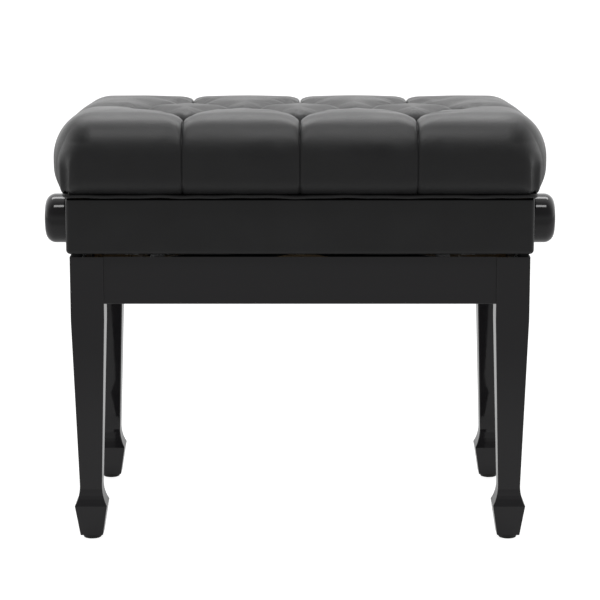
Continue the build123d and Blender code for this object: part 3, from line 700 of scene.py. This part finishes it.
# pinches the grid towards the pleats, then sinks it along the pleats and at the buttons
def tuft(form, points, normals):
    pleats = form.pleats()
    pinch = cushionShape["pinch"]
    for path, depth, reach in pleats:
        gap, foot, _ = nearest(points, path)
        close = (gap < pinch) & (gap > 1e-7)
        factor = (gap[close] / pinch) ** 1.1
        points[close] = foot[close] + (points[close] - foot[close]) * factor[:, None]
    sink = np.zeros(len(points))
    onPleat = np.full(len(points), 1e9)
    onTopPleat = onPleat.copy()
    for path, depth, reach in pleats:
        gap, foot, (deep, wide) = nearest(points, path, depth, reach)
        sink = np.maximum(sink, deep * puffFall(gap, wide))
        onPleat = np.minimum(onPleat, gap)
        if path[:, 2].min() > coverHigh.z - cushionShape["topPleatDrop"]:
            onTopPleat = np.minimum(onTopPleat, gap)
    for path, depth, reach in form.cornerFolds():
        gap, foot, (deep, wide) = nearest(points, path, depth, reach)
        sink = sink + deep * np.clip(1 - (gap / np.maximum(wide, 1e-9)) ** 2, 0, 1) ** 2
    below, fades = cushionShape["topEnds"]
    upper = np.clip((points[:, 2] - coverHigh.z + below) / fades, 0, 1)
    dome = np.clip(1 - onTopPleat / cushionShape["domeRadius"], 0, 1) ** 2
    dome = cushionShape["domeDepth"] * dome * upper
    rim = cushionShape["buttonDiameter"] / 2
    creaseStart, creaseRun = cushionShape["wrinkleReach"]
    for x, y in buttonPlaces():
        radial = np.hypot(points[:, 0] - x, points[:, 1] - y)
        near = puffFall(np.maximum(radial - rim, 0), cushionShape["dishRadius"])
        dish = (points[:, 2] - buttonLow.z) * near
        sink = np.where(upper > 0.8, np.maximum(sink, dish), sink)
        dome = dome * np.clip((radial - rim) / cushionShape["domeClearsButton"], 0, 1)
        around = np.arctan2(points[:, 1] - y, points[:, 0] - x)
        share = np.clip((radial - creaseStart) / creaseRun, 0, 1)
        wave = 0.6 * np.cos(11 * around + 40 * x) + 0.4 * np.cos(17 * around - 31 * y)
        calm = np.clip(onPleat / cushionShape["wrinkleOffPleat"], 0, 1) * np.sin(math.pi * share) ** 2
        sink = sink + np.where(upper > 0.8, cushionShape["wrinkleHeight"] * wave * calm, 0)
    sink = sink + dome
    slit = cushionShape["slit"] * (1 + cushionShape["topSlitExtra"] * upper)
    sink = sink + slit * np.exp(-(onPleat / cushionShape["slitHalfWidth"]) ** 2)
    dull = np.exp(-(onTopPleat / cushionShape["dullHalfWidth"]) ** 2)
    return points - normals * sink[:, None], onPleat, dull


def gridPiece(form, name):
    clearSelection()
    bpy.ops.mesh.primitive_grid_add(x_subdivisions=form.countX, y_subdivisions=form.countY, size=2)
    piece = bpy.context.object
    piece.name = name
    flat = places(piece.data)
    i = np.round(flat[:, 0] * form.countX / 2)
    j = np.round(flat[:, 1] * form.countY / 2)
    points = form.place(i, j)
    setPlaces(piece.data, points)
    normals = np.zeros(len(piece.data.vertices) * 3)
    piece.data.vertex_normals.foreach_get("vector", normals)
    return piece, i, j, points, normals.reshape(-1, 3)


# blows the tufted cover up as cloth, held at pleats, buttons and foot, and returns its moves
def relax(form):
    piece, i, j, points, normals = gridPiece(form, "cushionCloth")
    start, onPleat, _ = tuft(form, points, normals)
    setPlaces(piece.data, start)
    held = np.clip(1.3 - onPleat / cushionShape["clothHeldNear"], 0, 1)
    ring = np.maximum(np.abs(i) - form.innerX, np.abs(j) - form.innerY)
    held = np.where(ring >= form.rings - 2, 1.0, held)
    for x, y in buttonPlaces():
        radial = np.hypot(start[:, 0] - x, start[:, 1] - y)
        held = np.where(radial < cushionShape["clothHeldRound"], 1.0, held)
    group = piece.vertex_groups.new(name="held")
    for index in np.where(held > 0)[0]:
        group.add([int(index)], float(held[index]), "REPLACE")
    cloth = piece.modifiers.new("cloth", "CLOTH")
    settings = cloth.settings
    settings.vertex_group_mass = "held"
    settings.quality = cushionShape["clothQuality"]
    settings.mass = cushionShape["clothMass"]
    settings.tension_stiffness = cushionShape["clothStiffness"]
    settings.compression_stiffness = cushionShape["clothStiffness"]
    settings.shear_stiffness = cushionShape["clothShear"]
    settings.bending_stiffness = cushionShape["clothBending"]
    settings.shrink_min = cushionShape["clothShrink"]
    settings.use_pressure = True
    settings.uniform_pressure_force = cushionShape["clothPressure"]
    settings.effector_weights.gravity = 0
    cloth.collision_settings.use_collision = False
    cloth.collision_settings.use_self_collision = False
    for step in range(1, cushionShape["clothFrames"] + 1):
        bpy.context.scene.frame_set(step)
    activate(piece)
    bpy.ops.object.modifier_apply(modifier="cloth")
    bpy.context.scene.frame_set(1)
    moved = places(piece.data) - start
    size = np.linalg.norm(moved, axis=1)
    cap = cushionShape["clothCap"]
    moved *= (cap * np.tanh(size / cap) / np.maximum(size, 1e-9))[:, None]
    bpy.data.objects.remove(piece)
    width, depth = form.countX + 1, form.countY + 1
    field = np.zeros((width, depth, 3))
    field[(i + form.countX / 2).astype(int), (j + form.countY / 2).astype(int)] = moved
    print("cloth moved the cover up to", round(float(size.max()) / mm, 1), "mm before the cap")
    return field


def makeCushion():
    coarse, fine = CushionForm(1), CushionForm(2)
    piece, i, j, points, normals = gridPiece(fine, "tufted_cushion")
    shaped, _, fold = tuft(fine, points, normals)
    field = relax(coarse)
    a = np.clip(i / 2 + coarse.countX / 2, 0, coarse.countX)  # place on the coarse grid
    b = np.clip(j / 2 + coarse.countY / 2, 0, coarse.countY)
    a0, b0 = np.floor(a).astype(int), np.floor(b).astype(int)
    a1, b1 = np.minimum(a0 + 1, coarse.countX), np.minimum(b0 + 1, coarse.countY)
    ta, tb = (a - a0)[:, None], (b - b0)[:, None]
    push = (1 - ta) * ((1 - tb) * field[a0, b0] + tb * field[a0, b1])
    push += ta * ((1 - tb) * field[a1, b0] + tb * field[a1, b1])
    ring = np.maximum(np.abs(i) - fine.innerX, np.abs(j) - fine.innerY)
    onWall = np.clip(ring / cushionShape["wallFadeRings"] + 0.5, 0, 1)
    shaped = shaped + push * (1 - (1 - cushionShape["wallShare"]) * onWall)[:, None]
    setPlaces(piece.data, shaped)
    dull = piece.data.attributes.new("foldDepth", "FLOAT", "POINT")
    dull.data.foreach_set("value", fold.astype(np.float32))
    activate(piece)
    bpy.ops.object.mode_set(mode="EDIT")
    bpy.ops.mesh.select_mode(type="EDGE")
    bpy.ops.mesh.select_all(action="DESELECT")
    bpy.ops.mesh.select_non_manifold()
    bpy.ops.mesh.edge_face_add()
    bpy.ops.mesh.select_all(action="SELECT")
    bpy.ops.mesh.normals_make_consistent(inside=False)
    bpy.ops.object.mode_set(mode="OBJECT")
    bpy.ops.object.shade_smooth()
    finishPiece(piece, seatLeather, "carriage", "black_leather", "cushion_cover", "foam_core")
    return piece


cushion = makeCushion()
print("cushion made:", len(cushion.data.polygons), "faces")


# covered buttons
buttonShape = {
    "segments": 40,
    "rings": 14,
    "dome": 4.2 * mm,
    "rim": 1.6 * mm,
    "gathers": 13,  # folds of leather round the edge
    "gatherDepth": 0.012,
    "peak": 0.25 * mm,
}


# one domed, leather-covered button, copied to every tuft and joined
def makeButtons():
    radius = cushionShape["buttonDiameter"] / 2
    clearSelection()
    bpy.ops.mesh.primitive_uv_sphere_add(
        segments=buttonShape["segments"], ring_count=buttonShape["rings"], radius=radius
    )
    model = bpy.context.object
    points = places(model.data)
    reach = np.hypot(points[:, 0], points[:, 1])
    upper = points[:, 2] > 0
    dome = buttonShape["dome"] / radius
    around = np.arctan2(points[:, 1], points[:, 0])
    gather = 1 + buttonShape["gatherDepth"] * np.cos(buttonShape["gathers"] * around)
    points[:, 2] = np.where(upper, points[:, 2] * dome, points[:, 2] * buttonShape["rim"] / radius)
    points[:, 2] += buttonShape["peak"] * np.exp(-(reach / (2 * mm)) ** 2)
    points[:, 0] *= gather
    points[:, 1] *= gather
    setPlaces(model.data, points)
    copies = []
    for x, y in buttonPlaces():
        copy = model.copy()
        copy.data = model.data.copy()
        copy.location = (x, y, buttonLow.z + buttonShape["rim"])
        bpy.context.scene.collection.objects.link(copy)
        copies.append(copy)
    bpy.data.objects.remove(model)
    clearSelection()
    for copy in copies:
        copy.select_set(True)
    bpy.context.view_layer.objects.active = copies[0]
    bpy.ops.object.transform_apply(location=True, rotation=True, scale=True)
    bpy.ops.object.join()
    piece = settle(bpy.context.object, "covered_buttons")
    bpy.ops.object.shade_smooth()
    return finishPiece(piece, buttonLeather, "carriage", "black_leather", "tufting_buttons")


makeButtons()
print("buttons made")


# outlines of the box, for the welt and the side leather
skirtLow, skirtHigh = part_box("skirt_cover_left")[0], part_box("skirt_cover_right")[1]
boxX, boxY = skirtHigh.x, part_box("skirt_cover_rear")[1].y
boxShape = {
    "cornerRadius": 6.0 * mm,
    "baseRadius": 5.0 * mm,
    "leather": 1.3 * mm,
    "topRadius": 1.3 * mm,
    "topTurn": 8.0 * mm,  # turned in over the board, under the welt
    "underTurn": 16.5 * mm,  # from the outer face to the inner one
    "innerTurn": 14.0 * mm,
    "swell": 0.35 * mm,
    "cornerCalm": 25.0 * mm,  # the leather lies flat this near a corner
    "longCuts": 70,
    "highCuts": 11,
}


# a closed loop of edges round the box, with rounded corners
def roundedLoop(name, halfX, halfY, radius, z, corner):
    clearSelection()
    bpy.ops.mesh.primitive_plane_add(size=2, location=(0, 0, z))
    piece = bpy.context.object
    piece.scale = (halfX, halfY, 1)
    settle(piece, name)
    bpy.ops.object.mode_set(mode="EDIT")
    bpy.ops.mesh.select_all(action="SELECT")
    bpy.ops.mesh.bevel(offset=radius, segments=corner, affect="VERTICES")
    bpy.ops.mesh.delete(type="ONLY_FACE")
    bpy.ops.object.mode_set(mode="OBJECT")
    return piece


# welt piping round the cushion's foot
weltShape = {
    "wave": 0.7 * mm,
    "pull": 0.9,  # dip under each pleat, as a share of the wave
    "pullReach": 14.0 * mm,
    "outside": 1.1 * mm,  # centre line past the box leather
    "corner": 10,
    "cuts": 60,
    "ringPoints": 6,
}


# a cord in leather, sewn on a little unevenly: it dips where the pleats pull on it
def makeWelt():
    radius = (weltHigh.z - weltLow.z) / 2
    halfX, halfY = weltHigh.x - radius, weltHigh.y - radius
    middle = (weltHigh.z + weltLow.z) / 2
    corner = boxShape["cornerRadius"] + weltShape["outside"]
    piece = roundedLoop("welt_cord", halfX, halfY, corner, middle, weltShape["corner"])
    activate(piece)
    bpy.ops.object.mode_set(mode="EDIT")
    selectEdges(piece, lambda a, b: (a - b).length > 50 * mm)
    bpy.ops.mesh.subdivide(number_cuts=weltShape["cuts"])
    bpy.ops.object.mode_set(mode="OBJECT")
    points = places(piece.data)
    x, y = points[:, 0], points[:, 1]
    onLongSide = np.abs(y) > halfY - 1 * mm
    along = np.where(onLongSide, x, y)
    pull = np.zeros(len(points))
    for pleatX in (-buttonSpacing, 0, buttonSpacing):
        pull += np.where(onLongSide, np.exp(-((x - pleatX) / weltShape["pullReach"]) ** 2), 0)
    wander = 0.45 * np.sin(along / (17 * mm) + y * 9) + 0.35 * np.sin(along / (7.3 * mm) + x * 5)
    points[:, 2] += weltShape["wave"] * (wander - weltShape["pull"] * pull)
    setPlaces(piece.data, points)
    bpy.ops.object.convert(target="CURVE")
    curve = bpy.context.object
    curve.data.bevel_depth = radius
    curve.data.bevel_resolution = weltShape["ringPoints"]
    bpy.ops.object.convert(target="MESH")
    piece = settle(bpy.context.object, "welt_cord")
    bpy.ops.object.mode_set(mode="EDIT")
    bpy.ops.mesh.select_all(action="SELECT")
    bpy.ops.mesh.remove_doubles(threshold=0.01 * mm)
    bpy.ops.mesh.normals_make_consistent(inside=False)
    bpy.ops.object.mode_set(mode="OBJECT")
    bpy.ops.object.shade_smooth()
    return finishPiece(piece, seatLeather, "carriage", "black_leather", "welt_piping")


makeWelt()
print("welt made")


# draws a copy of the selected face in from the box's outline by the given width
def turnIn(width):
    bpy.ops.mesh.extrude_region_move()
    narrower = ((boxX - width) / boxX, (boxY - width) / boxY, 1)
    bpy.ops.transform.resize(value=narrower, center_override=(0, 0, 0))


def atRim(point):
    return max(abs(point.x) - boxX, abs(point.y) - boxY) > -boxShape["cornerRadius"] - 1 * mm


# one strip of leather over the side boards, rolled under them and turned up inside
def makeWrap():
    clearSelection()
    height = skirtHigh.z - skirtLow.z
    bpy.ops.mesh.primitive_cube_add(size=2, location=(0, 0, skirtLow.z + height / 2))
    piece = bpy.context.object
    piece.scale = (boxX, boxY, height / 2)
    settle(piece, "box_leather")
    bpy.ops.object.mode_set(mode="EDIT")
    bpy.ops.mesh.select_mode(type="EDGE")
    selectEdges(piece, lambda a, b: abs(a.z - b.z) > 10 * mm)
    bpy.ops.mesh.bevel(offset=boxShape["cornerRadius"], segments=8)
    bpy.ops.mesh.select_mode(type="FACE")
    selectFaces(piece, lambda centre, normal: normal.z > 0.9)
    turnIn(boxShape["topTurn"])
    bpy.ops.mesh.delete(type="FACE")
    bpy.ops.mesh.select_mode(type="EDGE")
    top, base = skirtHigh.z - 0.1 * mm, skirtLow.z + 0.1 * mm
    selectEdges(piece, lambda a, b: a.z > top and b.z > top and atRim(a) and atRim(b))
    bpy.ops.mesh.bevel(offset=boxShape["topRadius"], segments=3)
    selectEdges(piece, lambda a, b: a.z < base and b.z < base)
    bpy.ops.mesh.bevel(offset=boxShape["baseRadius"], segments=6)
    bpy.ops.mesh.select_mode(type="FACE")
    selectFaces(piece, lambda centre, normal: normal.z < -0.99)
    turnIn(boxShape["underTurn"])
    turnUp = {"value": (0, 0, boxShape["innerTurn"])}
    bpy.ops.mesh.extrude_region_move(TRANSFORM_OT_translate=turnUp)
    bpy.ops.mesh.delete(type="FACE")
    bpy.ops.mesh.select_mode(type="EDGE")
    selectEdges(piece, lambda a, b: (a - b).length > 100 * mm)
    bpy.ops.mesh.subdivide(number_cuts=boxShape["longCuts"])
    selectEdges(piece, lambda a, b: abs(a.z - b.z) > 30 * mm)
    bpy.ops.mesh.subdivide(number_cuts=boxShape["highCuts"])
    bpy.ops.object.mode_set(mode="OBJECT")
    points = places(piece.data)
    x, y, z = points.T
    outside = (np.abs(x) > boxX - 1 * mm) | (np.abs(y) > boxY - 1 * mm)
    rise = np.clip((z - skirtLow.z) / height, 0, 1)
    soft = np.sin(x / (61 * mm) + 1.3) * np.sin(y / (47 * mm) + z / (23 * mm))
    soft += 0.5 * np.sin(x / (27 * mm) + z / (19 * mm))
    fromCorner = np.minimum(boxX - np.abs(x), 1) + np.minimum(boxY - np.abs(y), 1)
    calm = np.clip(fromCorner / boxShape["cornerCalm"], 0, 1)
    swell = boxShape["swell"] * soft * np.sin(math.pi * rise) * outside * calm
    points[:, 0] += np.where(np.abs(x) > boxX - 1 * mm, np.sign(x) * swell, 0)
    points[:, 1] += np.where(np.abs(y) > boxY - 1 * mm, np.sign(y) * swell, 0)
    setPlaces(piece.data, points)
    activate(piece)
    bpy.ops.object.mode_set(mode="EDIT")
    bpy.ops.mesh.select_all(action="SELECT")
    bpy.ops.mesh.remove_doubles(threshold=0.01 * mm)
    bpy.ops.object.mode_set(mode="OBJECT")
    solid = piece.modifiers.new("thickness", "SOLIDIFY")
    solid.thickness = boxShape["leather"]
    solid.offset = -1
    bpy.ops.object.modifier_apply(modifier="thickness")
    bpy.ops.object.shade_smooth_by_angle(angle=math.radians(50))
    covers = ["skirt_cover_" + side for side in ("front", "rear", "left", "right")]
    return finishPiece(piece, seatLeather, "carriage", "black_leather", *covers)


makeWrap()
print("box leather made")


# turned knobs
knobShape = {
    "hubRadius": 15.0 * mm,
    "hubLength": 6.5 * mm,
    "innerRadius": 4.0 * mm,
    "outerRadius": 12.5 * mm,
    "bow": 1.5 * mm,
    "bore": 5.0 * mm,
    "boreDepth": 26.0 * mm,
    "boreEdge": 0.4 * mm,
    "hubEdge": 0.5 * mm,
    "neckEdge": 0.3 * mm,
    "cornerSteps": 10,
    "turnSteps": 96,
}


# points (along, out) from the bore's floor, over the hub and rim, to the middle of the face
def knobOutline(length, radius):
    shape = knobShape
    hub, start, bore = shape["hubRadius"], shape["hubLength"], shape["bore"]
    boreEdge, hubEdge, neckEdge = shape["boreEdge"], shape["hubEdge"], shape["neckEdge"]
    points = [(shape["boreDepth"], 0), (shape["boreDepth"], bore), (boreEdge, bore)]
    points += [(0, bore + boreEdge), (0, hub - hubEdge), (hubEdge, hub)]
    points += [(start - neckEdge, hub), (start, hub + neckEdge)]
    small, large = shape["innerRadius"], shape["outerRadius"]
    for step in range(shape["cornerSteps"] + 1):
        turn = math.pi / 2 * step / shape["cornerSteps"]
        along, out = start + small * (1 - math.cos(turn)), radius - small * (1 - math.sin(turn))
        points.append((along, out))
    rim = length - shape["bow"]
    for step in range(shape["cornerSteps"] + 1):
        turn = math.pi / 2 * step / shape["cornerSteps"]
        along, out = rim - large * (1 - math.sin(turn)), radius - large * (1 - math.cos(turn))
        points.append((along, out))
    flat = radius - large
    for step in range(1, shape["cornerSteps"] + 1):
        share = 1 - step / shape["cornerSteps"]
        points.append((length - shape["bow"] * share ** 2, flat * share))
    return points


# replaces an empty mesh in edit mode with a line through the given places
def drawLine(piece, line):
    shape = bmesh.from_edit_mesh(piece.data)
    corners = [shape.verts.new(place) for place in line]
    for first, second in zip(corners, corners[1:]):
        shape.edges.new((first, second))
    bmesh.update_edit_mesh(piece.data)


def makeKnob(side, node):
    low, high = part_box(node)
    radius, length = (high.z - low.z) / 2, high.x - low.x
    middle = (high.z + low.z) / 2
    start = low.x if side > 0 else high.x
    clearSelection()
    bpy.ops.mesh.primitive_plane_add(size=1)
    piece = bpy.context.object
    bpy.ops.object.mode_set(mode="EDIT")
    bpy.ops.mesh.delete(type="VERT")
    outline = knobOutline(length, radius)
    drawLine(piece, [(start + side * along, 0, middle + out) for along, out in outline])
    bpy.ops.mesh.select_all(action="SELECT")
    steps, centre = knobShape["turnSteps"], (0, 0, middle)
    bpy.ops.mesh.spin(steps=steps, angle=2 * math.pi, center=centre, axis=(1, 0, 0))
    bpy.ops.mesh.select_all(action="SELECT")
    bpy.ops.mesh.remove_doubles(threshold=0.005 * mm)
    bpy.ops.mesh.normals_make_consistent(inside=False)
    bpy.ops.object.mode_set(mode="OBJECT")
    settle(piece, node.replace("knob", "turned_knob"))
    bpy.ops.object.shade_smooth_by_angle(angle=math.radians(40))
    return finishPiece(piece, lacquer, "spindle", "polished_ebony_lacquer", node)


makeKnob(-1, "knob_left")
makeKnob(1, "knob_right")
print("knobs made")


# threaded spindle
spindleLow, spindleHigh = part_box("spindle_rod")
threadShape = {
    "lead": 3.0 * mm,
    "depth": 0.9 * mm,
    "tooth": [(0, 0), (0.35, 0), (0.5, 1), (0.85, 1), (1, 0)],  # shares of lead and depth
    "rod": 5.0 * mm,
    "rodEdge": 0.8 * mm,
    "steps": 28,
    "low": 129.4 * mm,
    "high": 195.7 * mm,
}


# a plain ground rod with a trapezoidal thread rolled along the nut's travel
def makeSpindle():
    crest = (spindleHigh.z - spindleLow.z) / 2
    middle = (spindleHigh.z + spindleLow.z) / 2
    start, lead = threadShape["low"], threadShape["lead"]
    turns = int((threadShape["high"] - start) / lead)
    root = crest - threadShape["depth"]
    clearSelection()
    bpy.ops.mesh.primitive_plane_add(size=1)
    thread = bpy.context.object
    bpy.ops.object.mode_set(mode="EDIT")
    bpy.ops.mesh.delete(type="VERT")
    tooth = [(along, root + out * (crest - root)) for along, out in threadShape["tooth"]]
    drawLine(thread, [(start + along * lead, 0, out) for along, out in tooth])
    bpy.ops.object.mode_set(mode="OBJECT")
    wind = thread.modifiers.new("thread", "SCREW")
    wind.axis = "X"
    wind.screw_offset = lead
    wind.iterations = turns
    wind.steps = wind.render_steps = threadShape["steps"]
    wind.use_merge_vertices = True
    wind.merge_threshold = 0.01 * mm
    activate(thread)
    bpy.ops.object.modifier_apply(modifier="thread")
    thread.location.z = middle
    settle(thread, "spindle_thread")
    clearSelection()
    length = spindleHigh.x - spindleLow.x
    bpy.ops.mesh.primitive_cylinder_add(
        vertices=48, radius=threadShape["rod"], depth=length, location=(0, 0, middle),
        rotation=(0, math.pi / 2, 0),
    )
    rod = settle(bpy.context.object, "screw_spindle")
    bpy.ops.object.mode_set(mode="EDIT")
    bpy.ops.mesh.select_mode(type="EDGE")
    end = length / 2 - 0.1 * mm
    selectEdges(rod, lambda a, b: abs(a.x) > end and abs(b.x) > end and a.x * b.x > 0)
    bpy.ops.mesh.bevel(offset=threadShape["rodEdge"], segments=2)
    bpy.ops.object.mode_set(mode="OBJECT")
    clearSelection()
    thread.select_set(True)
    rod.select_set(True)
    bpy.context.view_layer.objects.active = rod
    bpy.ops.object.join()
    bpy.ops.object.mode_set(mode="EDIT")
    bpy.ops.mesh.select_all(action="SELECT")
    bpy.ops.mesh.normals_make_consistent(inside=False)
    bpy.ops.object.mode_set(mode="OBJECT")
    bpy.ops.object.shade_smooth_by_angle(angle=math.radians(35))
    return finishPiece(rod, brightSteel, "spindle", "bright_steel", "spindle_rod")


makeSpindle()
print("spindle made")
